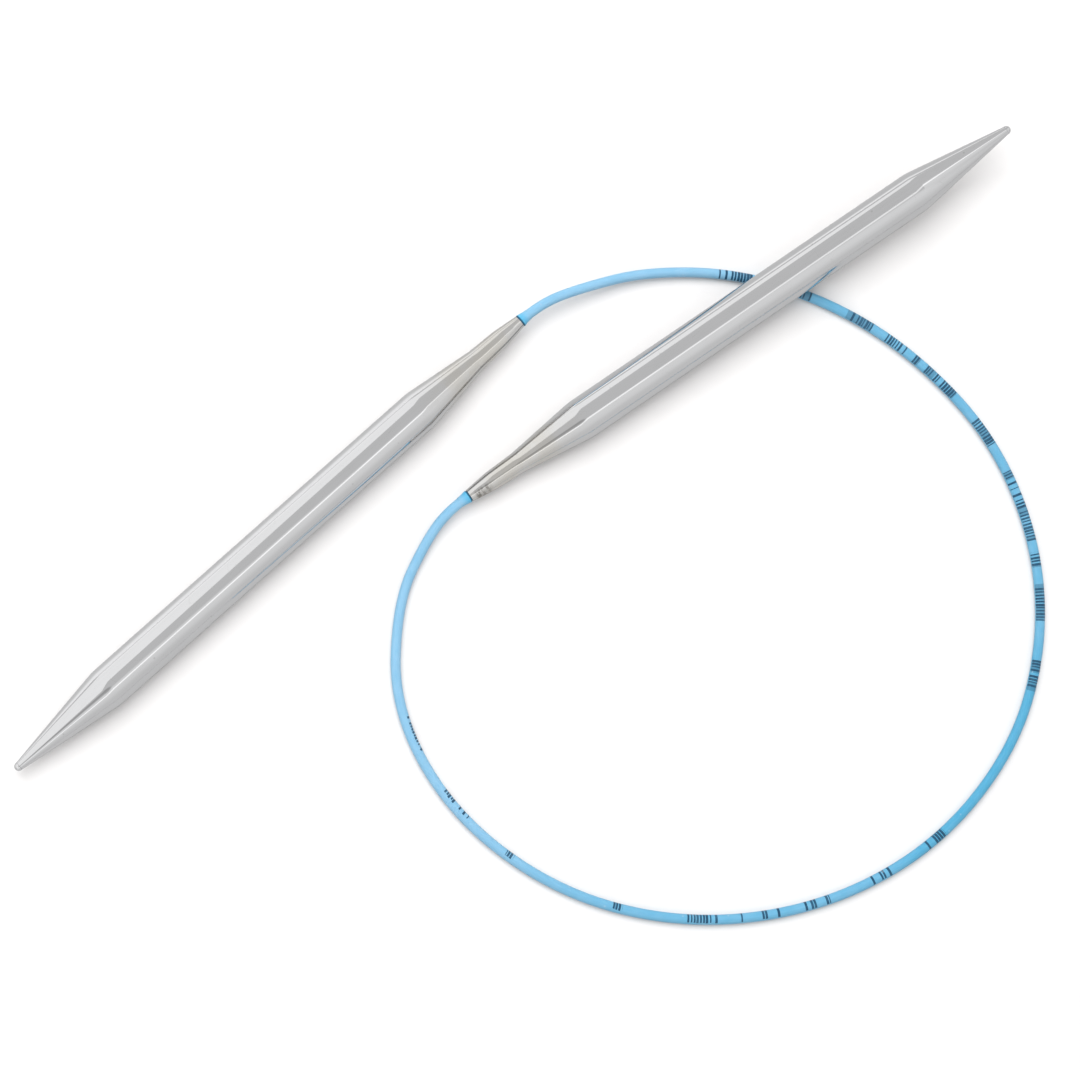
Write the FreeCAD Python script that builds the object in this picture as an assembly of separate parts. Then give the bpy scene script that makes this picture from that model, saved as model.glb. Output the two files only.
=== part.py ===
import FreeCAD, Part
import math
import os

from FreeCAD import Placement, Rotation, Vector

# A fixed circular knitting needle: two hollow metal needles joined for good by one nylon cord.
# Millimetres. +Z is up and Z = 0 is the table that the set lies on. The origin is under the
# middle of the box round the two needles.

# ---- cord ----
CORD_DIAMETER = 1.9

# ---- needle shell, one metal tube swaged down at both ends ----
NEEDLE_LENGTH = 125.0  # join mouth to the very end of the point
SHAFT_DIAMETER = 8.0  # the knitting size
SHELL_WALL = 0.6
TIP_CONE_LENGTH = 22.0  # very end of the point to full shaft diameter
JOIN_CONE_LENGTH = 25.2  # join mouth to full shaft diameter
SHOULDER_BLEND = 14.0  # radius where a cone runs into the shaft
NECK_BLEND = 16.0  # radius where the join cone runs into the neck, and the neck into the mouth
NECK_LENGTH = 10.9  # join mouth to the foot of the join cone
NECK_WALL = 0.7
TAPER_LENGTH = 4.8  # join mouth to the end of the last taper, drawn down onto the cord
TAPER_WALL = 0.45
MOUTH_WALL = 0.25
MOUTH_EDGE = 0.08  # bevel round the mouth

# ---- ferrule crimped on the cord's end, and the collar outside the mouth ----
FERRULE_WALL = 0.45
FERRULE_LENGTH = 9.0
FERRULE_SEAT = 4.2  # join mouth to the ferrule
COLLAR_LENGTH = 2.2
COLLAR_RIM = 0.35
COLLAR_END_WALL = 0.12
COLLAR_BLEND = 3.0

# ---- solid point that closes the tip of the shell ----
POINT_DIAMETER = 1.7
POINT_BAND = 0.1
STEM_DIAMETER = 1.0
STEM_LENGTH = 4.0

# ---- clearances, on the radius ----
THROAT_CLEARANCE = 0.05  # cord in the shell's throat
SEAT_CLEARANCE = 0.01  # ferrule and point in the shell

# ---- how the set lies: each needle's mouth, and its heading in degrees from +X to the point ----
NEEDLE_A_MOUTH = (-0.34, 22.76)
NEEDLE_A_HEADING = 222.1
NEEDLE_B_MOUTH = (-9.64, -9.94)
NEEDLE_B_HEADING = 34.6
CROSSING_DISTANCE = 72.4  # mouth of needle B to where the cord runs under it
CROSSING_GAP = 0.25  # needle B above the cord there

# ---- sizes that follow from those above ----
CORD_RADIUS = CORD_DIAMETER / 2
SHAFT_RADIUS = SHAFT_DIAMETER / 2
THROAT_RADIUS = CORD_RADIUS + THROAT_CLEARANCE
MOUTH_RADIUS = THROAT_RADIUS + MOUTH_WALL
FERRULE_RADIUS = CORD_RADIUS + FERRULE_WALL
SEAT_RADIUS = FERRULE_RADIUS + SEAT_CLEARANCE
POINT_RADIUS = POINT_DIAMETER / 2
STEM_RADIUS = STEM_DIAMETER / 2
STEM_BORE = STEM_RADIUS + SEAT_CLEARANCE
SHELL_END = NEEDLE_LENGTH - POINT_RADIUS - POINT_BAND
TIP_SHOULDER = NEEDLE_LENGTH - TIP_CONE_LENGTH
FERRULE_END = FERRULE_SEAT + FERRULE_LENGTH

# ---- the cord's route ----
LEAD_A = 5.0  # first run, straight out of the mouth of needle A
LEAD_B = 4.5  # last run, straight into the mouth of needle B
ON_TABLE = CORD_RADIUS  # height of the cord's axis where it lies on the table

# Points between the two leads, from needle A round to needle B.
CORD_ROUTE = [
    (11.0, 29.3, 3.4),
    (24.2, 33.1, 1.5),
    (42.1, 33.1, ON_TABLE),
    (60.3, 27.7, ON_TABLE),
    (76.5, 17.8, ON_TABLE),
    (91.2, 2.6, ON_TABLE),
    (99.6, -17.0, ON_TABLE),
    (100.8, -37.4, ON_TABLE),
    (94.8, -57.3, ON_TABLE),
    (79.5, -75.5, ON_TABLE),
    (57.5, -86.9, ON_TABLE),
    (32.5, -90.0, ON_TABLE),
    (8.3, -84.4, ON_TABLE),
    (-12.2, -69.8, ON_TABLE),
    (-23.5, -49.8, ON_TABLE),
    (-22.9, -29.8, ON_TABLE),
    (-17.6, -18.3, 1.5),
]

# An arc's radius is this share of the shorter run beside it, over the tangent of half the turn.
ARC_SHARE = 0.45

# The stretch that flexes beside needle A ends halfway along this run, counted from needle A,
# and the one beside needle B starts halfway along this run, counted from needle B.
FLEX_A_RUN = 4
FLEX_B_RUN = 5


# ---------------------------------------------------------------- outlines

def tangent_arc(before, corner, after, radius):
    """Start, middle and end of the arc of that radius that touches both sides of a corner."""
    arrive = (corner - before).normalize()
    leave = (after - corner).normalize()
    half_turn = arrive.getAngle(leave) / 2
    setback = radius * math.tan(half_turn)
    inward = (leave - arrive).normalize()
    middle = corner + inward * (radius / math.cos(half_turn) - radius)
    return corner - arrive * setback, middle, corner + leave * setback


def line(start, end):
    """Straight edge between two points."""
    return Part.LineSegment(start, end).toShape()


def arc(start, middle, end):
    """Round edge through three points."""
    return Part.Arc(start, middle, end).toShape()


def outline(corners):
    """Edges through corners of (station, radius, blend), each inner one rounded by its blend."""
    points = [Vector(station, radius, 0) for station, radius, _ in corners]
    edges = []
    start = points[0]
    for index in range(1, len(points) - 1):
        blend = corners[index][2]
        if blend > 0:
            round_corner = tangent_arc(*points[index - 1:index + 2], blend)
            edges.append(line(start, round_corner[0]))
            edges.append(arc(*round_corner))
            start = round_corner[2]
        else:
            edges.append(line(start, points[index]))
            start = points[index]
    edges.append(line(start, points[-1]))
    return edges


def turned(edges):
    """Solid made by turning a closed outline about the X axis."""
    face = Part.Face(Part.Wire(Part.__sortEdges__(edges)))
    return face.revolve(Vector(0, 0, 0), Vector(1, 0, 0), 360)


def turned_between(outer, inner):
    """Solid of revolution between an outer and an inner outline, closed by a flat ring at each end."""
    rings = []
    for index in (0, -1):
        outside = Vector(outer[index][0], outer[index][1], 0)
        inside = Vector(inner[index][0], inner[index][1], 0)
        rings.append(line(outside, inside))
    return turned(outline(outer) + outline(inner) + rings)


# ---------------------------------------------------------------- pieces of one needle
# Each is drawn along +X, with the join mouth at X = 0 and the point's end at NEEDLE_LENGTH.

def needle_shell():
    """Hollow shell: mouth, neck, join cone, shaft and tip cone, open at both ends."""
    outer = [
        (0, MOUTH_RADIUS - MOUTH_EDGE, 0),
        (MOUTH_EDGE, MOUTH_RADIUS, 0),
        (TAPER_LENGTH, SEAT_RADIUS + TAPER_WALL, NECK_BLEND),
        (NECK_LENGTH, SEAT_RADIUS + NECK_WALL, NECK_BLEND),
        (JOIN_CONE_LENGTH, SHAFT_RADIUS, SHOULDER_BLEND),
        (TIP_SHOULDER, SHAFT_RADIUS, SHOULDER_BLEND),
        (SHELL_END, POINT_RADIUS, 0),
    ]
    bore = SHAFT_RADIUS - SHELL_WALL
    cone_slope = (SHAFT_RADIUS - POINT_RADIUS) / (SHELL_END - TIP_SHOULDER)
    stem_bore_start = TIP_SHOULDER + (bore - STEM_BORE) / cone_slope
    inner = [
        (0, THROAT_RADIUS, 0),
        (FERRULE_SEAT, THROAT_RADIUS, 0),
        (FERRULE_SEAT, SEAT_RADIUS, 0),
        (NECK_LENGTH, SEAT_RADIUS, 0),
        (JOIN_CONE_LENGTH, bore, SHOULDER_BLEND),
        (TIP_SHOULDER, bore, SHOULDER_BLEND),
        (stem_bore_start, STEM_BORE, 0),
        (SHELL_END, STEM_BORE, 0),
    ]
    return turned_between(outer, inner)


def needle_point():
    """Round nose seated on the shell's end, on a stem that fills the tip's bore."""
    stem_start = SHELL_END - STEM_LENGTH
    band_end = SHELL_END + POINT_BAND
    diagonal = POINT_RADIUS * math.sqrt(0.5)
    corners = [
        Vector(stem_start, 0, 0),
        Vector(stem_start, STEM_RADIUS, 0),
        Vector(SHELL_END, STEM_RADIUS, 0),
        Vector(SHELL_END, POINT_RADIUS, 0),
        Vector(band_end, POINT_RADIUS, 0),
    ]
    edges = [line(start, end) for start, end in zip(corners, corners[1:])]
    end = Vector(NEEDLE_LENGTH, 0, 0)
    edges.append(arc(corners[-1], Vector(band_end + diagonal, diagonal, 0), end))
    edges.append(line(end, corners[0]))
    return turned(edges)


def crimp_ferrule():
    """Metal sleeve crimped on the cord's end and held in the neck."""
    outer = [(FERRULE_SEAT, FERRULE_RADIUS, 0), (FERRULE_END, FERRULE_RADIUS, 0)]
    inner = [(FERRULE_SEAT, CORD_RADIUS, 0), (FERRULE_END, CORD_RADIUS, 0)]
    return turned_between(outer, inner)


def join_collar():
    """Flared nylon collar on the cord, seated against the mouth."""
    end_radius = CORD_RADIUS + COLLAR_END_WALL
    outer = [
        (-COLLAR_LENGTH, end_radius, 0),
        (-COLLAR_LENGTH / 2, end_radius, COLLAR_BLEND),
        (-COLLAR_RIM, MOUTH_RADIUS, 0),
        (0, MOUTH_RADIUS, 0),
    ]
    inner = [(-COLLAR_LENGTH, CORD_RADIUS, 0), (0, CORD_RADIUS, 0)]
    return turned_between(outer, inner)


def held_cord_end():
    """End of the cord, from the collar through the throat to the end of the ferrule."""
    start = Vector(-COLLAR_LENGTH, 0, 0)
    return Part.makeCylinder(CORD_RADIUS, COLLAR_LENGTH + FERRULE_END, start, Vector(1, 0, 0))


# ---------------------------------------------------------------- how the needles lie

# Needle A lies flat. Needle B rests on the shoulder of its join cone and climbs over the cord.
NEEDLE_B_SLOPE = math.asin((CORD_DIAMETER + CROSSING_GAP) / (CROSSING_DISTANCE - JOIN_CONE_LENGTH))


def needle_place(mouth, heading, slope):
    """Placement of a needle whose join shoulder touches the table."""
    height = SHAFT_RADIUS * math.cos(slope) - JOIN_CONE_LENGTH * math.sin(slope)
    climb = Rotation(Vector(0, 1, 0), -math.degrees(slope))
    turn = Rotation(Vector(0, 0, 1), heading)
    return Placement(Vector(mouth[0], mouth[1], height), turn.multiply(climb))


PLACES = {
    "a": needle_place(NEEDLE_A_MOUTH, NEEDLE_A_HEADING, 0),
    "b": needle_place(NEEDLE_B_MOUTH, NEEDLE_B_HEADING, NEEDLE_B_SLOPE),
}

PIECES = {
    "needle_{}_shell": needle_shell,
    "needle_{}_point": needle_point,
    "needle_{}_ferrule": crimp_ferrule,
    "needle_{}_collar": join_collar,
    "cord_end_{}": held_cord_end,
}


# ---------------------------------------------------------------- the cord's free length

def whole_route():
    """The route's points from mouth to mouth."""
    first = [PLACES["a"].multVec(Vector(-out, 0, 0)) for out in (0, LEAD_A)]
    last = [PLACES["b"].multVec(Vector(-out, 0, 0)) for out in (LEAD_B, 0)]
    return first + [Vector(*point) for point in CORD_ROUTE] + last


def route_arcs(points):
    """The arc at each inner point of the route, and the radii of those arcs."""
    arcs = []
    radii = []
    for before, corner, after in zip(points, points[1:], points[2:]):
        arrive = corner - before
        leave = after - corner
        half_turn = arrive.getAngle(leave) / 2
        radius = ARC_SHARE * min(arrive.Length, leave.Length) / math.tan(half_turn)
        arcs.append(tangent_arc(before, corner, after, radius))
        radii.append(radius)
    return arcs, radii


def cord_tube(start, arcs, end):
    """Tube of the cord's section along straight runs and arcs, and its path."""
    edges = []
    here = start
    for each in arcs:
        edges.append(line(here, each[0]))
        edges.append(arc(*each))
        here = each[2]
    edges.append(line(here, end))
    path = Part.Wire(edges)
    section = Part.Wire(Part.makeCircle(CORD_RADIUS, start, arcs[0][0] - start))
    return path.makePipeShell([section], True, False), path


def cord_pieces():
    """The cord's free length in three: a flexing stretch beside each needle and the loop."""
    points = whole_route()
    arcs, radii = route_arcs(points)
    print("radii of the cord's arcs:", " ".join(f"{radius:.1f}" for radius in radii))
    first = FLEX_A_RUN
    last = len(points) - 1 - FLEX_B_RUN
    cuts = [
        PLACES["a"].multVec(Vector(-COLLAR_LENGTH, 0, 0)),
        (points[first - 1] + points[first]) / 2,
        (points[last] + points[last + 1]) / 2,
        PLACES["b"].multVec(Vector(-COLLAR_LENGTH, 0, 0)),
    ]
    stretches = {
        "cord_flex_a": cord_tube(cuts[0], arcs[:first - 1], cuts[1]),
        "cord_loop": cord_tube(cuts[1], arcs[first - 1:last], cuts[2]),
        "cord_flex_b": cord_tube(cuts[2], arcs[last:], cuts[3]),
    }
    for name, (tube, path) in stretches.items():
        expected = math.pi * CORD_RADIUS ** 2 * path.Length
        middle = path.discretize(3)[1]
        print(
            f"{name}: {path.Length:.1f} mm long, volume {tube.Volume:.1f} for {expected:.1f} mm3,"
            f" middle at {middle.x:.2f} {middle.y:.2f} {middle.z:.2f}"
        )
    return {name: tube for name, (tube, _) in stretches.items()}


# ---------------------------------------------------------------- build

def build():
    """Every node of the set, by name."""
    nodes = {}
    for side, place in PLACES.items():
        for pattern, make in PIECES.items():
            piece = make()
            piece.Placement = place
            nodes[pattern.format(side)] = piece
    nodes.update(cord_pieces())
    return nodes


os.makedirs("parts", exist_ok=True)
for node, shape in build().items():
    shape.exportStep(os.path.join("parts", node + ".step"))
    box = shape.BoundBox
    print(
        f"{node}: valid {shape.isValid()}, {len(shape.Solids)} solid, {shape.Volume:.2f} mm3,"
        f" x {box.XMin:.2f} {box.XMax:.2f}, y {box.YMin:.2f} {box.YMax:.2f},"
        f" z {box.ZMin:.2f} {box.ZMax:.2f}"
    )
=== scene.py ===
"""Looks of a fixed circular knitting needle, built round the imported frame.

Two hollow nickel-plated needles are joined for good by one nylon cord. The needles are turned
surfaces, and the cord is a tube along one smooth line. Everything is in metres in the shared
frame: +Z is up, Z = 0 is the table, and the origin is under the middle of the two needles.
"""

import logging
import math
from dataclasses import dataclass, field
from enum import Enum
from typing import Optional, Sequence

import bpy
import numpy as np
from mathutils import Matrix, Vector


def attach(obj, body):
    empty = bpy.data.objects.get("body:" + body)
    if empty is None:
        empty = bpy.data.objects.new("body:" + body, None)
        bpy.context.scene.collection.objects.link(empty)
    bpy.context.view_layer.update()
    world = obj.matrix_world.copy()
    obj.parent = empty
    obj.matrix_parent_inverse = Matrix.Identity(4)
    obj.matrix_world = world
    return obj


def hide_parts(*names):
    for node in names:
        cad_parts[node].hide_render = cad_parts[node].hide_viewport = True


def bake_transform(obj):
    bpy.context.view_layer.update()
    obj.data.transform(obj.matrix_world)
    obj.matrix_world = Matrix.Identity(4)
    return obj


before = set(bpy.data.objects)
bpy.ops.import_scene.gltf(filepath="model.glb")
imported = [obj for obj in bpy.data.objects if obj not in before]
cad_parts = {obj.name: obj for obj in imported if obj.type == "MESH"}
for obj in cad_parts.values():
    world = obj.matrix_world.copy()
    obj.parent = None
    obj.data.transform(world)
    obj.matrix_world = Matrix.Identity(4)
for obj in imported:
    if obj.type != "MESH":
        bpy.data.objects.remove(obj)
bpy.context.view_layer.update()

log = logging.getLogger("knitting_needle")

Array = np.ndarray
Material = bpy.types.Material
Object = bpy.types.Object
Node = bpy.types.Node
NodeTree = bpy.types.NodeTree
Socket = bpy.types.NodeSocket
Triple = tuple[float, float, float]
Color = tuple[float, float, float, float]
Shares = Color
Span = tuple[float, float]

STRAIGHT = "straightened"  # attribute: where a point lies if its piece is laid straight along X
INK = "ink"  # attribute: how much of the printed band reaches a point
SHARP_ANGLE = math.radians(32)
MILLIMETRE = 0.001


# ---- meshes

@dataclass(frozen=True)
class Corner:
    """One corner of a turned outline: distance along the axis, radius, and rounding radius."""

    station: float
    radius: float
    blend: float = 0.0


def rounded_outline(corners: Sequence[Corner], steps: int = 8, longest: float = 0.003) -> Array:
    """Points along an outline with its blended corners turned into tangent arcs.

    An arc of radius r touches both sides of its corner at r tan(h), where h is half the turn.
    Its points are start + n r (1 - cos t) + u r sin(t) for t from 0 to 2h, where u is the
    incoming direction and n points to the centre.

    Args:
        corners: The corners in order.
        steps: Divisions of each arc.
        longest: The longest straight step, in metres.

    Returns:
        An array of (station, radius) rows.
    """
    spots = np.array([(corner.station, corner.radius) for corner in corners])
    bends = [spots[:1]]
    for before, spot, after, corner in zip(spots, spots[1:], spots[2:], corners[1:]):
        if corner.blend == 0:
            bends.append(spot[None, :])
            continue
        arrive = (spot - before) / np.linalg.norm(spot - before)
        leave = (after - spot) / np.linalg.norm(after - spot)
        turn = math.acos(float(np.clip(arrive @ leave, -1, 1)))
        inward = leave - arrive * (leave @ arrive)
        inward /= np.linalg.norm(inward)
        start = spot - arrive * corner.blend * math.tan(turn / 2)
        angle = np.linspace(0, turn, steps + 1)[:, None]
        bends.append(
            start
            + inward * corner.blend * (1 - np.cos(angle))
            + arrive * corner.blend * np.sin(angle)
        )
    bends.append(spots[-1:])
    rough = np.concatenate(bends)
    gaps = np.linalg.norm(np.diff(rough, axis=0), axis=1)
    runs = [
        np.linspace(start, end, max(1, math.ceil(gap / longest)), endpoint=False)
        for start, end, gap in zip(rough, rough[1:], gaps)
    ]
    return np.concatenate(runs + [rough[-1:]])


def placed(name: str, data: Optional[bpy.types.ID]) -> Object:
    """A new object with its data, linked to the scene."""
    made = bpy.data.objects.new(name, data)
    bpy.context.scene.collection.objects.link(made)
    return made


def grid_quads(rows: int, columns: int, close_rows: bool) -> Array:
    """Quads of a grid whose columns go round and whose rows may close too.

    The quad at (i, j) joins rows i and i + 1 and columns j and j + 1, with the last column
    going on to the first.

    Args:
        rows: Number of rings.
        columns: Points on each ring.
        close_rows: Whether the last ring joins the first.

    Returns:
        An array of four point numbers to a row.
    """
    count = rows if close_rows else rows - 1
    i, j = np.meshgrid(np.arange(count), np.arange(columns), indexing="ij")
    ring, after_ring = i * columns, (i + 1) % rows * columns
    after_j = (j + 1) % columns
    corners = (ring + j, after_ring + j, after_ring + after_j, ring + after_j)
    return np.stack([corner.ravel() for corner in corners], axis=1)


def pole_triangles(pole: int, first: int, columns: int, at_start: bool) -> Array:
    """Triangles that close a ring onto one point, facing away from the grid.

    Args:
        pole: The point's number.
        first: Number of the ring's first point.
        columns: Points on the ring.
        at_start: Whether the pole is before the grid's first ring, or after its last.

    Returns:
        An array of three point numbers to a row.
    """
    j = np.arange(columns)
    after = (j + 1) % columns
    middle = np.full(columns, pole)
    ends = (first + j, first + after) if at_start else (first + after, first + j)
    return np.stack([middle, *ends], axis=1)


@dataclass
class Surface:
    """Points and faces of a closed surface, with each point's straightened place."""

    points: Array
    straightened: Array
    faces: list[Array]
    ink: Optional[Array] = None

    def object(self, name: str) -> Object:
        """A smooth-shaded object with this surface, at the origin.

        Args:
            name: Name of the object and its mesh.

        Returns:
            The object, linked to the scene.
        """
        mesh = bpy.data.meshes.new(name)
        faces = [face for block in self.faces for face in block.tolist()]
        mesh.from_pydata(self.points, [], faces)
        mesh.polygons.foreach_set("use_smooth", np.ones(len(faces), dtype=bool))
        mesh.set_sharp_from_angle(angle=SHARP_ANGLE)
        place = mesh.attributes.new(STRAIGHT, "FLOAT_VECTOR", "POINT")
        place.data.foreach_set("vector", self.straightened.astype(np.float32).ravel())
        if self.ink is not None:
            band = mesh.attributes.new(INK, "FLOAT", "POINT")
            band.data.foreach_set("value", self.ink.astype(np.float32))
        mesh.validate()
        return placed(name, mesh)


def turned_surface(profile: Array, closed: bool, segments: int, place: Matrix) -> Surface:
    """Surface made by turning a profile about the X axis, then put in its place.

    A ring's points are (x, r cos a, r sin a) for a from 0 round to 2 pi. A closed profile gives
    a tube with a wall. An open one starts and ends on the axis, where one point closes it.

    Args:
        profile: Rows of (x, r).
        closed: Whether the profile is a loop.
        segments: Points on each ring.
        place: From the piece's own frame to the shared frame.

    Returns:
        The surface.
    """
    rings = profile if closed else profile[1:-1]
    angle = np.linspace(0, 2 * math.pi, segments, endpoint=False)
    x = np.repeat(rings[:, :1], segments, axis=1)
    y = rings[:, 1:] * np.cos(angle)
    z = rings[:, 1:] * np.sin(angle)
    own = np.stack([x, y, z], axis=-1).reshape(-1, 3)
    faces = [grid_quads(len(rings), segments, closed)[:, ::-1]]
    if not closed:
        last = (len(rings) - 1) * segments
        poles = np.array([(profile[0, 0], 0, 0), (profile[-1, 0], 0, 0)])
        faces.append(pole_triangles(len(own), 0, segments, True))
        faces.append(pole_triangles(len(own) + 1, last, segments, False))
        own = np.concatenate([own, poles])
    matrix = np.array(place)
    return Surface(own @ matrix[:3, :3].T + matrix[:3, 3], own, faces)


# ---- shader tools

# How much of a noise's range a soft and a firm contrast use.
SOFT = (0.30, 0.70)
FIRM = (0.35, 0.65)


@dataclass
class Graph:
    """A node tree that is being filled, with short ways to add to it."""

    tree: NodeTree

    def add(self, kind: str, inputs: Optional[dict] = None, **settings: object) -> Node:
        """Adds a node.

        Args:
            kind: The node's type name, without "ShaderNode".
            inputs: Values or sockets for its inputs, by name or number.
            settings: The node's own properties.

        Returns:
            The node.
        """
        node = self.tree.nodes.new(kind if kind.startswith("Node") else "ShaderNode" + kind)
        for name, value in settings.items():
            setattr(node, name, value)
        self.put(node, inputs or {})
        return node

    def put(self, node: Node, inputs: dict) -> None:
        """Links a node's inputs to sockets or sets them to values.

        Args:
            node: The node.
            inputs: Values or sockets, by name or number.
        """
        for key, value in inputs.items():
            if isinstance(value, Socket):
                self.tree.links.new(value, node.inputs[key])
            else:
                node.inputs[key].default_value = value

    def math(self, operation: str, *values: object, clamp: bool = False) -> Socket:
        """The result of a Math node on up to three values or sockets."""
        inputs = dict(enumerate(values))
        return self.add("Math", inputs, operation=operation, use_clamp=clamp).outputs[0]

    def times(self, first: Socket, *others: object) -> Socket:
        """The product of two or more values."""
        for other in others:
            first = self.math("MULTIPLY", first, other)
        return first

    def weighted(
        self, values: Sequence[Socket], shares: Sequence[float], base: float = 0.0
    ) -> Socket:
        """A base and the sum of some values, each times its share.

        Args:
            values: The values.
            shares: A share for each.
            base: What they are added to.

        Returns:
            The sum.
        """
        total = base
        for value, share in zip(values, shares):
            total = self.math("MULTIPLY_ADD", value, share, total)
        return total

    def span(
        self, value: Socket, low: float, high: float, new_low: float = 0, new_high: float = 1
    ) -> Socket:
        """A value taken smoothly from one range to another and held at its ends."""
        inputs = {"Value": value, 1: low, 2: high, 3: new_low, 4: new_high}
        return self.add("MapRange", inputs, interpolation_type="SMOOTHSTEP").outputs[0]

    def between(self, value: Socket, rise: Span, fall: Span) -> Socket:
        """One between a smooth rise and a smooth fall, and nothing outside them."""
        return self.times(self.span(value, *rise), self.span(value, *fall, 1, 0))

    def dot(self, place: Socket, direction: Triple) -> Socket:
        """How far a place lies along a direction."""
        inputs = {0: place, 1: direction}
        return self.add("VectorMath", inputs, operation="DOT_PRODUCT").outputs["Value"]

    def mix(self, share: object, first: object, second: object) -> Socket:
        """Two colours mixed by a share."""
        inputs = {0: share, 6: first, 7: second}
        return self.add("Mix", inputs, data_type="RGBA").outputs[2]

    def noise(self, place: Socket, scale: float, detail: float = 2.0) -> Socket:
        """The value of a noise texture at a place."""
        inputs = {"Vector": place, "Scale": scale, "Detail": detail}
        return self.add("TexNoise", inputs).outputs[0]

    def use(self, group: NodeTree, place: Socket, **values: float) -> Socket:
        """The only output of a node group that reads a place."""
        return self.add("Group", {"Place": place, **values}, node_tree=group).outputs[0]

    def stretched(self, place: Socket, along: float) -> Socket:
        """A place scaled along the piece only."""
        inputs = {0: place, 1: (along, 1.0, 1.0)}
        return self.add("VectorMath", inputs, operation="MULTIPLY").outputs[0]


def effect(name: str, values: dict[str, float], output: str) -> Graph:
    """Starts a shader node group that takes a place and some values, and gives one value.

    Args:
        name: The group's name.
        values: The default of each value, by name.
        output: Name of its output.

    Returns:
        The group's graph, with nodes named "in" and "out".
    """
    tree = bpy.data.node_groups.new(name, "ShaderNodeTree")
    tree.interface.new_socket("Place", in_out="INPUT", socket_type="NodeSocketVector")
    for label, default in values.items():
        socket = tree.interface.new_socket(label, in_out="INPUT", socket_type="NodeSocketFloat")
        socket.default_value = default
    tree.interface.new_socket(output, in_out="OUTPUT", socket_type="NodeSocketFloat")
    graph = Graph(tree)
    graph.add("NodeGroupInput", name="in")
    graph.add("NodeGroupOutput", name="out")
    return graph


class Effects:
    """The node groups that the materials share."""

    # Each layer of scratches: its turn in radians, and how far its pattern is shifted.
    LAYERS = ((0.35, 11.0), (-0.6, 23.0), (1.25, 37.0))
    SCRATCH_STRETCH = 0.06
    SCRATCH_EDGE = (0.0, 0.018)
    PATCH_SCALE = 260.0
    PATCH_SPAN = (0.58, 0.66)
    SPECK_EDGE = (0.08, 0.22)

    def __init__(self) -> None:
        """Builds each group once."""
        self.drawn = self._drawn_lines()
        self.scratches = self._scratches()
        self.specks = self._specks()

    @staticmethod
    def _drawn_lines() -> NodeTree:
        """Fine lines along a piece, as drawing or extruding leaves them.

        Noise is stretched far along X, so that each line runs on for centimetres.

        Returns:
            The group.
        """
        graph = effect("drawn lines", {"Along": 20.0, "Across": 2500.0}, "Height")
        place, along, across, _ = graph.tree.nodes["in"].outputs
        scales = graph.add("CombineXYZ", {0: along, 1: across, 2: across}).outputs[0]
        scaled = graph.add("VectorMath", {0: place, 1: scales}, operation="MULTIPLY").outputs[0]
        graph.put(graph.tree.nodes["out"], {"Height": graph.noise(scaled, 1.0, 3.0)})
        return graph.tree

    def _scratches(self) -> NodeTree:
        """Sparse hairline scratches that lie at several slants.

        Each is an edge between the long cells of a stretched Voronoi pattern, kept only where a
        coarse noise is high.

        Returns:
            The group.
        """
        graph = effect("hairline scratches", {"Scale": 400.0, "Amount": 0.3}, "Mask")
        place, scale, amount, _ = graph.tree.nodes["in"].outputs
        masks = []
        for turn, shift in self.LAYERS:
            inputs = {"Vector": place, "Rotation": (turn, 0, turn), "Location": (shift, 0, 0)}
            turned = graph.add("Mapping", inputs).outputs[0]
            long = graph.stretched(turned, self.SCRATCH_STRETCH)
            inputs = {"Vector": long, "Scale": scale, "Randomness": 1.0}
            cells = graph.add("TexVoronoi", inputs, feature="DISTANCE_TO_EDGE")
            line = graph.span(cells.outputs["Distance"], *self.SCRATCH_EDGE, 1, 0)
            patch = graph.span(graph.noise(turned, self.PATCH_SCALE), *self.PATCH_SPAN)
            masks.append(graph.times(line, patch))
        total = graph.math("ADD", graph.math("ADD", masks[0], masks[1]), masks[2], clamp=True)
        graph.put(graph.tree.nodes["out"], {"Mask": graph.times(total, amount)})
        return graph.tree

    def _specks(self) -> NodeTree:
        """Small round specks, kept in a share of the cells of a Voronoi pattern.

        Returns:
            The group.
        """
        graph = effect("specks", {"Scale": 900.0, "Share": 0.1}, "Mask")
        place, scale, share, _ = graph.tree.nodes["in"].outputs
        cells = graph.add("TexVoronoi", {"Vector": place, "Scale": scale})
        dot = graph.span(cells.outputs["Distance"], *self.SPECK_EDGE, 1, 0)
        draw = graph.add("SeparateColor", {0: cells.outputs["Color"]}).outputs[0]
        kept = graph.math("LESS_THAN", draw, share)
        graph.put(graph.tree.nodes["out"], {"Mask": graph.times(dot, kept)})
        return graph.tree


def new_material(name: str) -> tuple[Material, Graph, Node]:
    """A node material with its graph and its Principled shader."""
    material = bpy.data.materials.new(name)
    material.use_nodes = True
    return material, Graph(material.node_tree), material.node_tree.nodes["Principled BSDF"]


def dress(piece: Object, material: Material) -> None:
    """Gives a piece one material in place of what it has."""
    piece.data.materials.clear()
    piece.data.materials.append(material)


# ---- finishes

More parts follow.
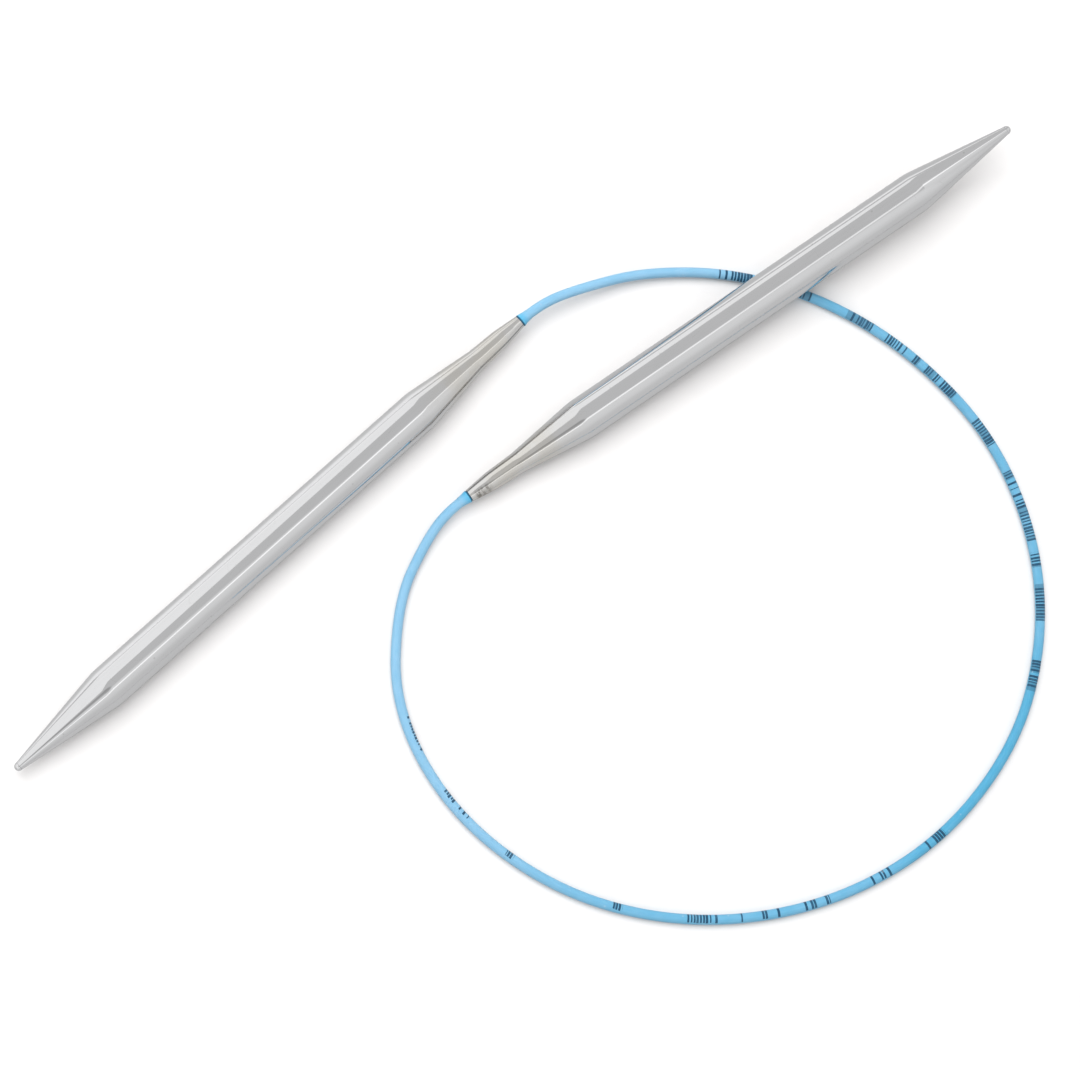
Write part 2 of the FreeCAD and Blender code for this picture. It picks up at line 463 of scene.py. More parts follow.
@dataclass(frozen=True)
class NickelPlate:
    """Bright nickel plate, polished along the needle and handled a little.

    The crimp is the strength of the tool marks on the lower side of the neck: dents pushed in as
    relief, with painted shade darkening their colour. Spans along the needle are distances from
    its mouth.
    """

    clean: Color = (0.636, 0.637, 0.645, 1)
    warm: Color = (0.610, 0.588, 0.545, 1)
    shade: Color = (0.500, 0.500, 0.495, 1)
    # Painted shade: the dark colour put into the crimp's dents.
    dent_and_shade: Color = (0.170, 0.158, 0.138, 1)
    cloud_scale: float = 190.0
    cloud_span: Span = (0.35, 0.70)
    neck_fade: Span = (0.0125, 0.0285)
    warmth: Span = (0.35, 0.90)
    crimp: float = 0.0
    crimp_rise: Span = (0.0007, 0.0014)
    crimp_fall: Span = (0.0030, 0.0048)
    crimp_side: Span = (-0.0006, 0.0005)
    dent_scale: float = 700.0
    dent_stretch: float = 2.6
    dent_span: Span = (0.38, 0.60)
    dent_least: float = 0.25
    wear: Shares = (0.05, 0.05, 0.25, 0.50)
    roughness: float = 0.028
    rough_lines: Span = (0.40, 0.70)
    roughening: Shares = (0.035, 0.03, 0.20, 0.03)
    relief: Shares = (0.6, 0.4, -0.7, -6.0)
    relief_height: float = 2e-6

    def material(self, effects: Effects, name: str) -> Material:
        """The finish as a material that reads the needle's own straightened place.

        Args:
            effects: The shared node groups.
            name: The material's name.

        Returns:
            The material.
        """
        material, graph, shader = new_material(name)
        place = graph.add("Attribute", attribute_name=STRAIGHT).outputs["Vector"]
        station, across, _ = graph.add("SeparateXYZ", {0: place}).outputs
        lines = graph.use(effects.drawn, place, Along=14.0, Across=2600.0)
        broad = graph.use(effects.drawn, place, Along=30.0, Across=520.0)
        scratches = graph.use(effects.scratches, place, Scale=520.0, Amount=0.55)
        specks = graph.use(effects.specks, place, Scale=700.0, Share=0.035)
        cloud = graph.span(graph.noise(place, self.cloud_scale, 4.0), *self.cloud_span)

        neck = graph.span(station, *self.neck_fade, 1, 0)
        warmth = graph.times(neck, graph.span(cloud, 0.0, 1.0, *self.warmth))
        toned = graph.mix(warmth, self.clean, self.warm)
        worn = (graph.span(lines, *FIRM), cloud, scratches, specks)
        color = graph.mix(graph.weighted(worn, self.wear), toned, self.shade)

        # Real dents with painted shade: the crimp marks, pushed in as relief and darkened in
        # colour.
        dents = graph.noise(graph.stretched(place, self.dent_stretch), self.dent_scale)
        dent_and_shade = graph.times(
            graph.between(station, self.crimp_rise, self.crimp_fall),
            graph.span(across, *self.crimp_side, 1, 0),
            graph.span(dents, *self.dent_span, self.dent_least, 1.0),
            self.crimp,
        )

        matt = (cloud, graph.span(lines, *self.rough_lines), scratches, neck)
        height = graph.weighted((broad, lines, scratches, dent_and_shade), self.relief)
        bump = graph.add("Bump", {"Distance": self.relief_height, "Height": height})
        looks = {
            "Base Color": graph.mix(dent_and_shade, color, self.dent_and_shade),
            "Metallic": 1.0,
            "Roughness": graph.weighted(matt, self.roughening, self.roughness),
            "Normal": bump.outputs[0],
        }
        graph.put(shader, looks)
        return material


@dataclass(frozen=True)
class DrawnBrass:
    """Bare brass with draw lines, as on a crimped ferrule."""

    bright: Color = (0.78, 0.62, 0.33, 1)
    dull: Color = (0.55, 0.42, 0.22, 1)
    roughness: Span = (0.25, 0.40)

    def material(self, effects: Effects) -> Material:
        """The finish as a material that reads Object coordinates.

        Args:
            effects: The shared node groups.

        Returns:
            The material.
        """
        material, graph, shader = new_material("drawn brass")
        place = graph.add("TexCoord").outputs["Object"]
        lines = graph.use(effects.drawn, place, Along=900.0, Across=900.0)
        looks = {
            "Base Color": graph.mix(graph.span(lines, *SOFT), self.bright, self.dull),
            "Metallic": 1.0,
            "Roughness": graph.span(lines, *SOFT, *self.roughness),
        }
        graph.put(shader, looks)
        return material


class NylonPart(Enum):
    """Which part of the cord the nylon is for."""

    CORD = ""
    FLARE = " flare"
    HIDDEN = " end"


@dataclass(frozen=True)
class DyedNylon:
    """Sky-blue nylon with extrusion lines, and dark bars printed in groups along it.

    The colour is painted deeper along the right and bottom of the loop, and deepest on its lower
    right, leaving the upper left paler, as painted light and shade from the upper left. A thin
    dark ring where a flare meets the metal is painted shade in that groove. Spans along the cord
    are distances from needle A's mouth, and those of a flare are from its own mouth.
    """

    name: str = "sky-blue nylon"
    pale: Color = (0.215, 0.418, 0.585, 1)
    deep: Color = (0.052, 0.300, 0.474, 1)
    vivid: Color = (0.060, 0.360, 0.570, 1)
    ink: Color = (0.0004, 0.050, 0.108, 1)
    # Painted shade in the narrow groove where a flare meets the metal.
    gap_shade: Color = (0.002, 0.085, 0.160, 1)
    fleck: Color = (0.40, 0.48, 0.56, 1)
    fleck_share: float = 0.35
    mottle_scale: float = 420.0
    end_depth: Span = (0.05, 0.30)
    flare_depth: Span = (0.05, 0.20)
    vivid_fade: Span = (0.0003, 0.0022)
    vivid_share: float = 0.85
    gap_shade_fade: Span = (0.00024, 0.00042)
    # Painted shade: where along the cord the colour is pushed deeper, so the upper left of the
    # loop stays paler.
    shaded_stretch: tuple[Span, Span] = ((0.035, 0.065), (0.240, 0.295))
    most_shaded_stretch: tuple[Span, Span] = ((0.140, 0.156), (0.188, 0.204))
    shade_and_tone: Shares = (0.52, 0.28, 0.12, 0.08)
    bar_pitch: float = 0.00060
    bar_draws: Span = (0.15, 1.0)
    bar_widths: Span = (0.40, 0.80)
    bar_rarity: float = 1.15
    wash_pitch: float = 0.00190
    wash_rarity: float = 0.4
    wash_density: float = 0.8
    wash: float = 0.45
    print_edge: Span = (0.0, 0.4)
    worn_span: Span = (0.25, 0.55)
    worn: Span = (0.86, 1.0)
    roughness: float = 0.30
    line_roughness: float = 0.10
    line_height: float = 4e-6
    refraction: float = 1.5
    glow: float = 0.4
    glow_depth: float = 0.0005

    def material(self, effects: Effects, part: NylonPart) -> Material:
        """The finish as a material that reads the cord's straightened place.

        The hidden ends are the frame's own shapes, so theirs reads Object coordinates instead.

        Args:
            effects: The shared node groups.
            part: The part of the cord that it is for. Only the cord itself has print.

        Returns:
            The material.
        """
        material, graph, shader = new_material(self.name + part.value)
        if part is NylonPart.HIDDEN:
            place = graph.add("TexCoord").outputs["Object"]
        else:
            place = graph.add("Attribute", attribute_name=STRAIGHT).outputs["Vector"]
        along = graph.add("SeparateXYZ", {0: place}).outputs[0]
        lines = graph.use(effects.drawn, place, Along=60.0, Across=3200.0)
        mottle = graph.noise(place, self.mottle_scale, 3.0)
        specks = graph.use(effects.specks, place, Scale=800.0, Share=0.05)

        if part is NylonPart.HIDDEN:
            depth = graph.span(mottle, *SOFT, *self.end_depth)
            color = graph.mix(depth, self.pale, self.deep)
        elif part is NylonPart.FLARE:
            depth = graph.span(mottle, *SOFT, *self.flare_depth)
            out = graph.math("ABSOLUTE", along)
            color = graph.mix(depth, self.pale, self.deep)
            vivid = graph.span(out, *self.vivid_fade, self.vivid_share, 0.0)
            color = graph.mix(vivid, color, self.vivid)
            # Painted shade: a dark ring at the flare's mouth end, in the groove against the
            # metal.
            color = graph.mix(graph.span(out, *self.gap_shade_fade, 1, 0), color, self.gap_shade)
        else:
            # Painted light and shade: deeper along the right and bottom of the loop, paler on
            # its upper left; the mottle and drawn lines are real tone.
            stretches = [graph.between(along, *ends) for ends in (self.shaded_stretch, self.most_shaded_stretch)]
            spots = [graph.span(mottle, *SOFT), graph.span(lines, *FIRM)]
            depth = graph.weighted(stretches + spots, self.shade_and_tone)
            color = graph.mix(depth, self.pale, self.deep)
            color = graph.mix(self._bars(graph, along, mottle), color, self.ink)
        rough = (graph.span(lines, *SOFT), self.line_roughness, self.roughness)
        bump = graph.add("Bump", {"Distance": self.line_height, "Height": lines})
        looks = {
            "Base Color": graph.mix(graph.times(specks, self.fleck_share), color, self.fleck),
            "Roughness": graph.math("MULTIPLY_ADD", *rough),
            "Normal": bump.outputs[0],
            "IOR": self.refraction,
            "Subsurface Weight": self.glow,
            "Subsurface Radius": (1, 1, 1),
            "Subsurface Scale": self.glow_depth,
        }
        graph.put(shader, looks)
        return material

    def _bars(self, graph: Graph, along: Socket, mottle: Socket) -> Socket:
        """Share of ink at a place: bars of random widths across the cord, in printed groups.

        The length is cut into cells of one pitch. A random draw for each says whether it has a
        bar and how much of it the bar fills, and a sparse group has fewer. In a dense group, a
        draw for each longer cell says whether a thin wash of ink fills it. Noise wears the ink.

        Args:
            graph: The material's graph.
            along: Distance along the cord.
            mottle: The noise that wears the ink.

        Returns:
            The share.
        """
        band = graph.add("Attribute", attribute_name=INK).outputs["Fac"]
        steps = graph.math("DIVIDE", along, self.bar_pitch)
        draw = self._draw(graph, steps)
        width = graph.span(draw, *self.bar_draws, *self.bar_widths)
        filled = graph.math("LESS_THAN", graph.math("FRACT", steps), width)
        least = graph.math("SUBTRACT", self.bar_rarity, band)
        present = graph.math("GREATER_THAN", draw, least)
        wash_draw = self._draw(graph, graph.math("DIVIDE", along, self.wash_pitch))
        washed = graph.times(
            graph.math("GREATER_THAN", wash_draw, self.wash_rarity),
            self.wash,
            graph.math("GREATER_THAN", band, self.wash_density),
        )
        shown = graph.math("MAXIMUM", graph.times(filled, present), washed)
        worn = graph.span(mottle, *self.worn_span, *self.worn)
        return graph.times(shown, graph.span(band, *self.print_edge), worn)

    @staticmethod
    def _draw(graph: Graph, steps: Socket) -> Socket:
        """A random value for each whole step."""
        inputs = {"W": graph.math("FLOOR", steps)}
        return graph.add("TexWhiteNoise", inputs, noise_dimensions="1D").outputs["Value"]


@dataclass(frozen=True)
class TableTop:
    """Plain pale matt table, a little darker where metal mirrors it than where it is seen.

    Metal mirrors it brighter beyond needle A, towards the upper left. Both differences are
    painted reflection, standing for light on the table that falls off away from the upper left.
    """

    color: Color = (0.710, 0.700, 0.697, 1)
    grain: Color = (0.702, 0.692, 0.690, 1)
    grain_scale: float = 300.0
    mirrored: Color = (0.47, 0.47, 0.47, 1)
    mirrored_lit_left: Color = (0.73, 0.73, 0.73, 1)
    towards_right: Triple = (0.670, -0.742, 0)
    mirror_change: Span = (-0.046, -0.024)
    roughness: float = 0.9
    shine: float = 0.1

    def material(self) -> Material:
        """The finish as a material, with a grain too faint to see from afar.

        Returns:
            The material.
        """
        material, graph, shader = new_material("pale table")
        place = graph.add("TexCoord").outputs["Object"]
        grain = graph.span(graph.noise(place, self.grain_scale, 3.0), *SOFT)
        tone = graph.mix(grain, self.color, self.grain)
        side = graph.span(graph.dot(place, self.towards_right), *self.mirror_change)
        # Painted reflection: the table as metal mirrors it, brighter towards the upper left and
        # darker elsewhere.
        mirrored = graph.mix(side, self.mirrored_lit_left, self.mirrored)
        in_metal = graph.add("LightPath").outputs["Is Glossy Ray"]
        looks = {
            "Base Color": graph.mix(in_metal, tone, mirrored),
            "Roughness": self.roughness,
            "Specular IOR Level": self.shine,
        }
        graph.put(shader, looks)
        return material


# ---- the needles

class Side(Enum):
    """Which of the two needles."""

    A = "a"
    B = "b"


@dataclass(frozen=True)
class Lie:
    """How a needle lies: its mouth, its heading from +X to its point, and its climb."""

    mouth: Triple
    heading: float
    climb: float

    def matrix(self) -> Matrix:
        """From the needle's own frame, X from mouth to point, to the shared frame."""
        turn = Matrix.Rotation(math.radians(self.heading), 4, "Z")
        lift = Matrix.Rotation(-math.radians(self.climb), 4, "Y")
        return Matrix.Translation(self.mouth) @ turn @ lift


LIES = {
    Side.A: Lie((-0.00034, 0.02276, 0.004), 222.1, 0.0),
    Side.B: Lie((-0.00964, -0.00994, 0.002848), 34.6, 2.611),
}


@dataclass
class Needle:
    """One needle: plated shell, rounded point, and the ferrule and cord end inside it."""

    side: Side
    length: float = 0.125
    shaft_radius: float = 0.004
    shell_wall: float = 0.0006
    tip_cone: float = 0.022
    join_cone: float = 0.0252
    shoulder_blend: float = 0.014
    neck_blend: float = 0.016
    neck_length: float = 0.0109
    neck_radius: float = 0.00211
    taper_length: float = 0.0048
    taper_radius: float = 0.00186
    mouth_radius: float = 0.00125
    mouth_edge: float = 0.00008
    edge_corner: Span = (0.35, 0.20)
    throat_radius: float = 0.001
    seat_radius: float = 0.00141
    ferrule_seat: float = 0.0042
    point_radius: float = 0.00085
    point_band: float = 0.0001
    seam_groove: float = 0.00004
    nose_steps: int = 24
    stem_radius: float = 0.0005
    stem_length: float = 0.004
    stem_gap: float = 0.00001
    segments: int = 128

    @property
    def shell_end(self) -> float:
        """Where the shell ends and the rounded point starts."""
        return self.length - self.point_radius - self.point_band

    def shell_profile(self) -> Array:
        """Loop round the shell's wall: out along the outside and back along the bore.

        Returns:
            Rows of (station, radius).
        """
        shoulder = self.length - self.tip_cone
        bore = self.shaft_radius - self.shell_wall
        slope = (self.shaft_radius - self.point_radius) / (self.shell_end - shoulder)
        stem_bore = self.stem_radius + self.stem_gap
        stem_start = shoulder + (bore - stem_bore) / slope
        inset, drop = (self.mouth_edge * share for share in self.edge_corner)
        outside = [
            Corner(0, self.mouth_radius - self.mouth_edge),
            Corner(inset, self.mouth_radius - drop),
            Corner(self.mouth_edge, self.mouth_radius),
            Corner(self.taper_length, self.taper_radius, self.neck_blend),
            Corner(self.neck_length, self.neck_radius, self.neck_blend),
            Corner(self.join_cone, self.shaft_radius, self.shoulder_blend),
            Corner(shoulder, self.shaft_radius, self.shoulder_blend),
            Corner(self.shell_end - self.seam_groove, self.point_radius),
            Corner(self.shell_end, self.point_radius - self.seam_groove),
        ]
        inside = [
            Corner(self.shell_end, stem_bore),
            Corner(stem_start, stem_bore),
            Corner(shoulder, bore, self.shoulder_blend),
            Corner(self.join_cone, bore, self.shoulder_blend),
            Corner(self.neck_length, self.seat_radius),
            Corner(self.ferrule_seat, self.seat_radius),
            Corner(self.ferrule_seat, self.throat_radius),
            Corner(0, self.throat_radius),
        ]
        return np.concatenate([rounded_outline(outside), rounded_outline(inside)])

    def point_profile(self) -> Array:
        """Outline of the solid point, from the end of its stem to the end of its round nose.

        The nose is a quarter circle: station = centre + r sin(t), radius = r cos(t).

        Returns:
            Rows of (station, radius).
        """
        centre = self.length - self.point_radius
        turn = np.linspace(0, math.pi / 2, self.nose_steps + 1)
        nose = np.stack([np.sin(turn), np.cos(turn)], axis=1) * self.point_radius + (centre, 0)
        stem_start = self.shell_end - self.stem_length
        stem = [
            (stem_start, 0),
            (stem_start, self.stem_radius),
            (self.shell_end, self.stem_radius),
            (self.shell_end, self.point_radius - self.seam_groove),
            (self.shell_end + self.seam_groove, self.point_radius),
        ]
        return np.concatenate([np.array(stem), nose])

    def build(
        self, nickel: Material, brass: Material, nylon: Material
    ) -> None:
        """Makes the shell and the point, and dresses the pieces kept from the frame.

        Args:
            nickel: Finish of the shell and the point.
            brass: Finish of the ferrule.
            nylon: Finish of the cord's end.
        """
        place = LIES[self.side].matrix()
        body = "needle_" + self.side.value
        rows = [
            ("plated_shell", "shell", self.shell_profile(), True),
            ("rounded_point", "point", self.point_profile(), False),
        ]
        for name, node, profile, closed in rows:
            surface = turned_surface(profile, closed, self.segments, place)
            piece = surface.object(f"{body}_{name}")
            dress(piece, nickel)
            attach(piece, body)
            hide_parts(f"{body}_{node}")
            log.info("%s rides %s, %d faces", piece.name, body, len(piece.data.polygons))
        dress(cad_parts[f"{body}_ferrule"], brass)
        dress(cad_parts[f"cord_end_{self.side.value}"], nylon)
        log.info("%s_ferrule and cord_end_%s keep their frame shapes", body, self.side.value)


# ---- the cord

# The cord's route from mouth to mouth, point by point as the frame's tube has it.
ROUTE = (
    (-0.00034, 0.02276, 0.0040), (0.00337, 0.02611, 0.0040), (0.0110, 0.0293, 0.0034),
    (0.0242, 0.0331, 0.0015), (0.0421, 0.0331, 0.00095), (0.0603, 0.0277, 0.00095),
    (0.0765, 0.0178, 0.00095), (0.0912, 0.0026, 0.00095), (0.0996, -0.0170, 0.00095),
    (0.1008, -0.0374, 0.00095), (0.0948, -0.0573, 0.00095), (0.0795, -0.0755, 0.00095),
    (0.0575, -0.0869, 0.00095), (0.0325, -0.0900, 0.00095), (0.0083, -0.0844, 0.00095),
    (-0.0122, -0.0698, 0.00095), (-0.0235, -0.0498, 0.00095), (-0.0229, -0.0298, 0.00095),
    (-0.0176, -0.0183, 0.0015), (-0.01334, -0.01249, 0.002643), (-0.00964, -0.00994, 0.002848),
)

# The loop starts and ends midway between these points of the route.
CUTS = ((3, 4), (15, 16))


@dataclass(frozen=True)
class PrintedGroup:
    """A printed stretch of the cord: where it starts and ends, how it faces, how dense it is.

    It faces that many degrees from straight up, to the right of the way along.
    """

    start: float
    end: float
    facing: float = 0.0
    density: float = 1.0


PRINT = tuple(
    PrintedGroup(*row)
    for row in (
        (0.0407, 0.0475), (0.0565, 0.0594), (0.0666, 0.0725),
        (0.0752, 0.0800), (0.0822, 0.0836), (0.0853, 0.0930),
        (0.0990, 0.1045), (0.1104, 0.1140), (0.1152, 0.1246),
        (0.1267, 0.1299), (0.1328, 0.1401), (0.1477, 0.1538),
        (0.1856, 0.1912, 12, 0.60), (0.1976, 0.2038, 16, 0.55), (0.2114, 0.2180, 22, 0.55),
        (0.2207, 0.2289, 26, 0.50), (0.2328, 0.2405, 32, 0.90), (0.2516, 0.2536, 48),
        (0.2744, 0.2760, 60), (0.2859, 0.2946, 82, 0.7), (0.3014, 0.3091, 104),
    )
)

# Where a flare's rings are, as shares of the way from its narrow end to the mouth.
FLARE_STATIONS = np.array([0, 0.1, 0.2, 0.3, 0.4, 0.5, 0.6, 0.7, 0.78, 0.84, 0.9, 0.95, 1])


@dataclass
class Cord:
    """The nylon cord: one line from mouth to mouth, made as three tubes and two flares."""

    diameter: float = 0.0019
    ring_step: float = 0.00035
    segments: int = 32
    flare_length: float = 0.0022
    flare_radius: float = 0.00125
    flare_rim: float = 0.00035
    flare_end_radius: float = 0.00100
    flare_power: float = 1.8
    flare_groove: float = 0.00016
    groove_entry: float = 1.3
    groove_exit: float = 0.8
    groove_edge: float = 0.00004
    groove_radius: float = 0.00108
    overlap: float = 0.0010
    band_half_angle: float = 72.0
    band_fade: float = 12.0
    line: Array = field(init=False)
    distance: Array = field(init=False)
    heading: Array = field(init=False)

    def __post_init__(self) -> None:
        """Reads the smooth line through the route, and how far along it each point is."""
        curve = bpy.data.curves.new("cord_line", "CURVE")
        curve.dimensions = "3D"
        curve.resolution_u = 64
        spline = curve.splines.new("NURBS")
        spline.points.add(len(ROUTE) - 1)
        for point, spot in zip(spline.points, ROUTE):
            point.co = (*spot, 1)
        spline.order_u = 3
        spline.use_endpoint_u = True
        holder = placed("cord_line", curve)
        bpy.context.view_layer.update()
        mesh = bpy.data.meshes.new_from_object(holder)
        points = np.empty(len(mesh.vertices) * 3)
        mesh.vertices.foreach_get("co", points)
        self.line = points.reshape(-1, 3)
        bpy.data.objects.remove(holder)
        bpy.data.curves.remove(curve)
        bpy.data.meshes.remove(mesh)
        steps = np.linalg.norm(np.diff(self.line, axis=0), axis=1)
        self.distance = np.concatenate([[0], np.cumsum(steps)])
        slope = np.gradient(self.line, self.distance, axis=0)
        self.heading = slope / np.linalg.norm(slope, axis=1, keepdims=True)

    @property
    def length(self) -> float:
        """Length of the line from mouth to mouth."""
        return float(self.distance[-1])

    def at(self, along: Array) -> tuple[Array, Array]:
        """Places and directions along the line.

        Args:
            along: Distances along it.

        Returns:
            A row of places and a row of unit directions.
        """
        place, way = (
            np.stack([np.interp(along, self.distance, column) for column in rows.T], axis=1)
            for rows in (self.line, self.heading)
        )
        return place, way / np.linalg.norm(way, axis=1, keepdims=True)

    def nearest(self, spot: Sequence[float]) -> float:
        """Distance along the line of its nearest point to a spot."""
        gaps = np.linalg.norm(self.line - np.array(spot), axis=1)
        return float(self.distance[int(gaps.argmin())])

    def tube(self, along: Array, radius: Array) -> Surface:
        """Closed tube along part of the line.

        A ring's points are centre + r (side cos a + up sin a), where side is level and square
        to the line, and up is square to both. One point closes each end.

        Args:
            along: Distances along the line, in order.
            radius: The tube's radius at each distance.

        Returns:
            The surface, with its printed band.
        """
        centre, way = self.at(along)
        side = np.cross(way, (0, 0, 1))
        side /= np.linalg.norm(side, axis=1, keepdims=True)
        up = np.cross(side, way)
        angle = np.linspace(0, 2 * math.pi, self.segments, endpoint=False)
        reach = radius[:, None, None] * np.stack([np.cos(angle), np.sin(angle)], axis=1)
        points = centre[:, None, :] + reach @ np.stack([side, up], axis=1)
        rows = len(along)
        own = np.empty((rows, self.segments, 3))
        own[..., 0], own[..., 1:] = along[:, None], reach
        first, last = rows * self.segments, rows * self.segments + 1
        faces = [
            grid_quads(rows, self.segments, False),
            pole_triangles(first, 0, self.segments, True)[:, ::-1],
            pole_triangles(last, (rows - 1) * self.segments, self.segments, False)[:, ::-1],
        ]
        band = self._band(along, angle).ravel()
        return Surface(
            np.concatenate([points.reshape(-1, 3), centre[[0, -1]]]),
            np.concatenate([own.reshape(-1, 3), [(along[0], 0, 0), (along[-1], 0, 0)]]),
            faces,
            np.concatenate([band, [0, 0]]),
        )

    def _band(self, along: Array, angle: Array) -> Array:
        """How dense the print is at each ring point: the group's density on its facing side.

        It fades along straight ramps, over one ring step at its ends and a few degrees at its
        sides.

        Args:
            along: Distance of each ring.
            angle: Angle of each point on a ring.

        Returns:
            A row for each ring.
        """
        band = np.zeros((len(along), len(angle)))
        for group in PRINT:
            edge = np.minimum(along - group.start, group.end - along) / self.ring_step
            length_share = np.clip(edge + 0.5, 0, 1)
            turn = np.degrees(angle) - 90 + group.facing
            away = np.abs((turn + 180) % 360 - 180)
            round_share = np.clip((self.band_half_angle - away) / self.band_fade + 0.5, 0, 1)
            band = np.maximum(band, group.density * length_share[:, None] * round_share)
        return band

    def stretch(
        self, name: str, start: float, end: float, node: str, nylon: Material
    ) -> Object:
        """One tube of the cord, which stands for its node in the frame.

        Args:
            name: The piece's name.
            start: Distance along the line where it starts.
            end: Where it ends.
            node: The frame's node that it replaces.
            nylon: Its finish.

        Returns:
            The piece.
        """
        along = np.linspace(start, end, math.ceil((end - start) / self.ring_step) + 1)
        piece = self.tube(along, np.full(len(along), self.diameter / 2)).object(name)
        dress(piece, nylon)
        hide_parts(node)
        log.info("%s is %.1f mm of cord", piece.name, (along[-1] - along[0]) / MILLIMETRE)
        return piece

    def flare(self, side: Side, nylon: Material) -> None:
        """The flared collar at a mouth, carried along the cord's own line.

        Its radius is end + (full - end) s^power, where s runs from 0 at its narrow end to 1 at
        the rim. It holds for the rim, then drops into a narrow groove where it meets the metal.

        Args:
            side: The needle whose mouth it is at.
            nylon: Its finish.
        """
        out = self.flare_length * (1 - FLARE_STATIONS)
        share = np.clip((self.flare_length - out) / (self.flare_length - self.flare_rim), 0, 1)
        growth = (self.flare_radius - self.flare_end_radius) * share**self.flare_power
        entry = self.flare_groove * self.groove_entry
        keep = out > entry
        ends = [entry, self.flare_groove, self.flare_groove * self.groove_exit, 0.0]
        edges = [self.flare_radius, self.flare_radius - self.groove_edge]
        out = np.concatenate([out[keep], ends])
        radius = np.concatenate(
            [self.flare_end_radius + growth[keep], edges, [self.groove_radius] * 2]
        )
        if side is Side.A:
            along, radius = out[::-1], radius[::-1]
        else:
            along = self.length - out
        surface = self.tube(along, radius)
        surface.ink = None  # no print
        if side is Side.B:
            surface.straightened[:, 0] -= self.length
        body = "needle_" + side.value
        piece = surface.object(body + "_cord_flare")
        dress(piece, nylon)
        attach(piece, body)
        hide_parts(body + "_collar")
        log.info("%s rides %s", piece.name, body)

    def build(self, nylon: Material, flare_nylon: Material) -> None:
        """Makes the cord's three stretches and its flares.

        Args:
            nylon: Finish of the cord.
            flare_nylon: Finish of the flares.
        """
        cut_a, cut_b = (
            self.nearest((Vector(ROUTE[before]) + Vector(ROUTE[after])) / 2)
            for before, after in CUTS
        )
        loop = self.stretch("cord_loop_tube", cut_a, cut_b, "cord_loop", nylon)
        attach(loop, "cord")
        hidden = self.flare_length - self.overlap
        near_a = self.stretch("cord_tube_by_needle_a", hidden, cut_a, "cord_flex_a", nylon)
        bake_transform(near_a)
        last = self.length - hidden
        near_b = self.stretch("cord_tube_by_needle_b", cut_b, last, "cord_flex_b", nylon)
        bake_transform(near_b)
        for side in Side:
            self.flare(side, flare_nylon)


# ---- the studio

@dataclass(frozen=True)
class Panel:
    """A flat soft light: its middle, size, brightness, aim, and whether metal mirrors it."""

    name: str
    middle: Triple
    size: Span
    brightness: float
    aim: Optional[Triple] = None
    turn: float = 0.0
    mirrored: bool = True

    def build(self) -> None:
        """Makes the light. Its power is its brightness times pi times its area."""
        light = bpy.data.lights.new(self.name, "AREA")
        light.shape = "RECTANGLE"
        light.size, light.size_y = self.size
        light.energy = self.brightness * math.pi * self.size[0] * self.size[1]
        holder = placed(self.name, light)
        facing = Matrix.Rotation(math.radians(self.turn), 4, "Z")
        if self.aim is not None:
            look = Vector(self.aim) - Vector(self.middle)
            facing = look.to_track_quat("-Z", "Y").to_matrix().to_4x4()
        holder.matrix_world = Matrix.Translation(self.middle) @ facing
        holder.visible_camera = False
        holder.visible_glossy = self.mirrored


@dataclass(frozen=True)
class Room:
    """Pale room whose brightness runs through stops from the upper left to the lower right.

    Low beyond needle B's point the bright side reaches further over, which its cone mirrors. A
    darker patch overhead stands for the camera, which both cones mirror.
    """

    towards_right: Triple = (0.62, -0.785, 0)
    beyond_b: Triple = (0.785, 0.62, 0)
    reach_span: Span = (0.425, 0.465)
    reach: float = 0.40
    camera_way: Triple = (-0.008, -0.242, 0.970)
    patch_edge: Span = (0.10, 0.22)
    patch_share: float = 0.60
    stops: tuple[Span, ...] = (
        (0.000, 1.05), (0.003, 1.00), (0.010, 0.74), (0.400, 0.73), (0.575, 0.74),
        (0.645, 0.99), (0.760, 0.98), (0.820, 0.96), (0.90, 0.88), (0.97, 0.78), (1.00, 0.78),
    )

    def build(self) -> None:
        """Makes the scene's world."""
        world = bpy.data.worlds.new("studio")
        world.use_nodes = True
        bpy.context.scene.world = world
        graph = Graph(world.node_tree)
        background = world.node_tree.nodes["Background"]
        way = graph.add("TexCoord").outputs["Generated"]
        reach = graph.span(graph.dot(way, self.beyond_b), *self.reach_span, 0.0, self.reach)
        lean = graph.math("ADD", graph.dot(way, self.towards_right), reach)
        ramp = graph.add("ValToRGB", {0: graph.math("MULTIPLY_ADD", lean, 0.5, 0.5)})
        elements = ramp.color_ramp.elements
        while len(elements) < len(self.stops):
            elements.new(0.5)
        for element, (spot, value) in zip(elements, self.stops):
            element.position = spot
            element.color = (value, value, value, 1)
        away = graph.add("VectorMath", {0: way, 1: self.camera_way}, operation="DISTANCE")
        patch = graph.span(away.outputs["Value"], *self.patch_edge, self.patch_share, 1.0)
        graph.put(background, {"Color": graph.times(ramp.outputs[0], patch)})


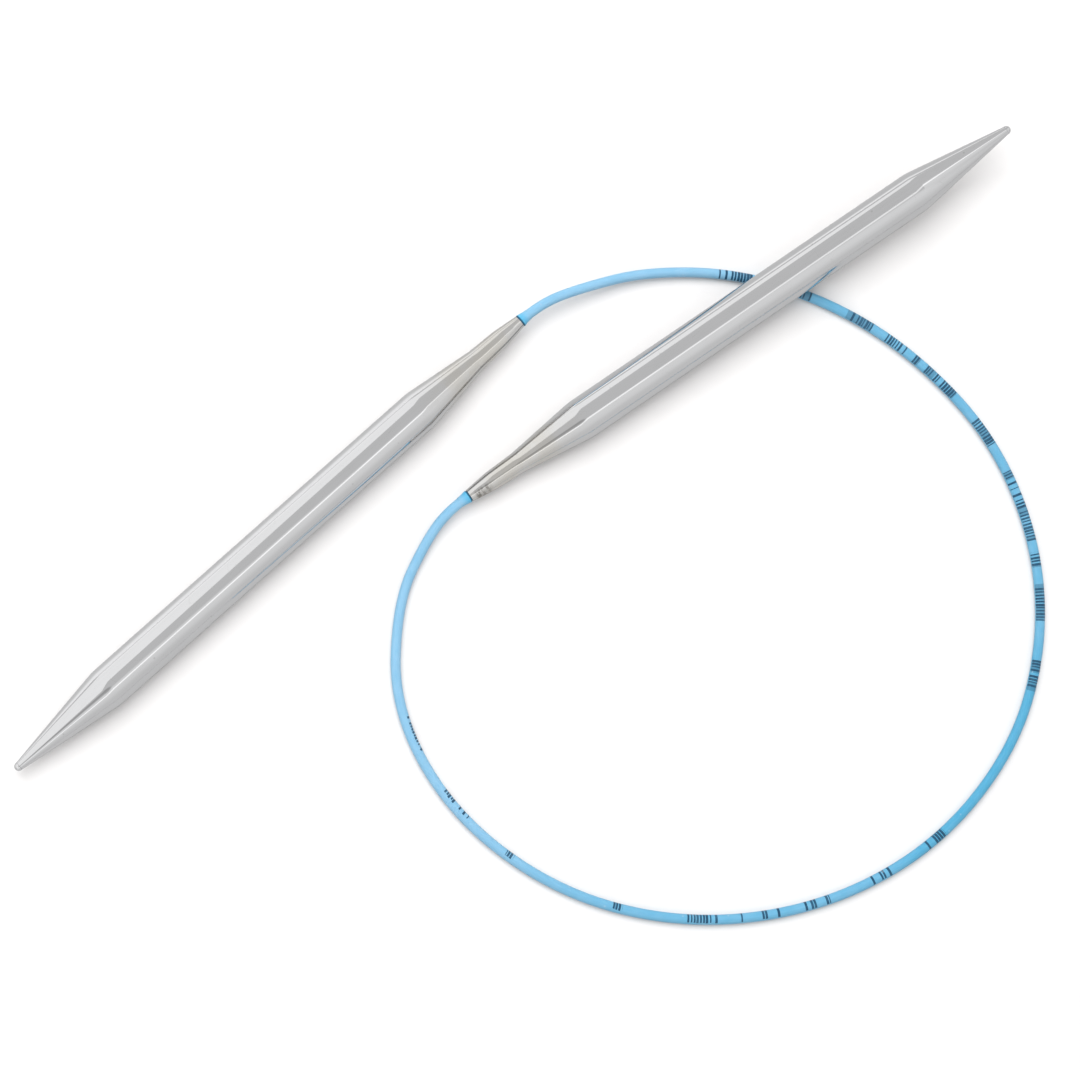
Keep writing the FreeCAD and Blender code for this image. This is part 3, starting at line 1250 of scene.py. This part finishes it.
@dataclass
class Studio:
    """Pale table, soft light and the camera."""

    eye: Triple = (-0.0929, -0.0661, 0.6916)
    target: Triple = (0.00406, -0.0179, 0.0)
    lens: float = 124.27
    sensor: float = 36.0
    clip: Span = (0.05, 50)
    table_size: float = 12.0

    def build(self) -> None:
        """Makes the camera, the table, the room and the lights."""
        self._camera()
        self._table()
        Room().build()
        panels = (
            Panel("key", (-0.19, 0.47, 1.14), (0.95, 0.95), 5.0, aim=(0, 0, 0), mirrored=False),
            Panel("left softbox", (-0.83, 0.70, 0.30), (1.35, 2.40), 0.47),
            Panel("right strip", (0.084, -0.030, 0.30), (0.036, 0.60), 0.50, turn=-25.7),
        )
        for panel in panels:
            panel.build()
            log.info("light %s", panel.name)

    def _camera(self) -> None:
        """Camera at its eye point, looking at its target with +Y up in the picture."""
        data = bpy.data.cameras.new("camera")
        data.lens = self.lens
        data.sensor_width = self.sensor
        data.clip_start, data.clip_end = self.clip
        camera = placed("camera", data)
        look = (Vector(self.target) - Vector(self.eye)).normalized()
        right = look.cross(Vector((0, 1, 0))).normalized()
        turn = Matrix((right, right.cross(look), -look)).transposed().to_4x4()
        camera.matrix_world = Matrix.Translation(self.eye) @ turn
        bpy.context.scene.camera = camera

    def _table(self) -> None:
        """The table: one flat square at Z = 0."""
        half = self.table_size / 2
        corners = [(-half, -half, 0), (half, -half, 0), (half, half, 0), (-half, half, 0)]
        mesh = bpy.data.meshes.new("table")
        mesh.from_pydata(corners, [], [(0, 1, 2, 3)])
        table = placed("table", mesh)
        dress(table, TableTop().material())


# ---- everything


def main() -> None:
    """Builds the studio, the cord and the needles."""
    logging.basicConfig(level=logging.INFO, format="%(message)s")
    bpy.context.scene.view_settings.view_transform = "Standard"
    Studio().build()
    effects = Effects()
    nickel = {
        Side.A: NickelPlate().material(effects, "polished nickel plate"),
        Side.B: NickelPlate(crimp=0.85).material(effects, "polished nickel plate, crimped neck"),
    }
    brass = DrawnBrass().material(effects)
    nylon = {part: DyedNylon().material(effects, part) for part in NylonPart}
    Cord().build(nylon[NylonPart.CORD], nylon[NylonPart.FLARE])
    for side in Side:
        Needle(side).build(nickel[side], brass, nylon[NylonPart.HIDDEN])


if __name__ == "__main__":
    main()
